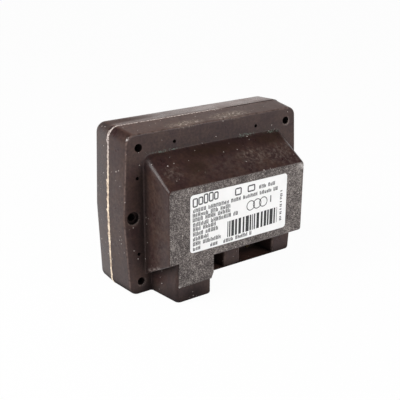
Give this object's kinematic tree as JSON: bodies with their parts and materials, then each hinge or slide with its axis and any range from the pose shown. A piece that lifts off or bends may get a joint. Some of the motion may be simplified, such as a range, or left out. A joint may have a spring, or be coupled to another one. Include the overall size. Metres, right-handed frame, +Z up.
{
  "type": "ignition transformer",
  "caption": "Resin-filled ignition transformer in a dark moulded case with a sloped hood, a mains leg, high-tension pockets and screw holes through the flange.",
  "frame": {"origin": "on the standing face, in the middle of the overall width and depth", "axes": "+X to the right as seen from the label side, +Y from the label to the mounting face, +Z up"},
  "size_m": [0.1234, 0.055, 0.0944],
  "materials": {
    "case_moulding": "satin dark brown-black moulded thermoset",
    "cured_resin": "uneven cured resin",
    "label_film": "matt white printed film",
    "potting_resin": "cast resin",
    "core_steel": "stamped electrical steel",
    "bobbin_plastic": "glass-filled plastic",
    "enamelled_copper": "enamelled copper wire",
    "contact_brass": "turned and stamped brass",
    "lead_sleeve": "insulated wire"
  },
  "bodies": {
    "root": {"front_housing": "case_moulding", "rear_cover": "case_moulding", "seam_resin": "cured_resin", "rating_label": "label_film", "potting_compound": "potting_resin", "core_e_stack": "core_steel", "core_yoke": "core_steel", "shunt_upper_left": "core_steel", "shunt_upper_right": "core_steel", "shunt_lower_left": "core_steel", "shunt_lower_right": "core_steel", "primary_bobbin": "bobbin_plastic", "secondary_bobbin_left": "bobbin_plastic", "secondary_bobbin_right": "bobbin_plastic", "primary_winding": "enamelled_copper", "secondary_winding_left": "enamelled_copper", "secondary_winding_right": "enamelled_copper", "ht_pin_left": "contact_brass", "ht_pin_right": "contact_brass", "line_tab": "contact_brass", "earth_tab": "contact_brass", "neutral_tab": "contact_brass", "ht_lead_left": "lead_sleeve", "ht_lead_right": "lead_sleeve", "line_lead": "lead_sleeve", "neutral_lead": "lead_sleeve", "earth_lead": "lead_sleeve", "earth_link_left": "enamelled_copper", "earth_link_right": "enamelled_copper"}
  },
  "joints": []
}
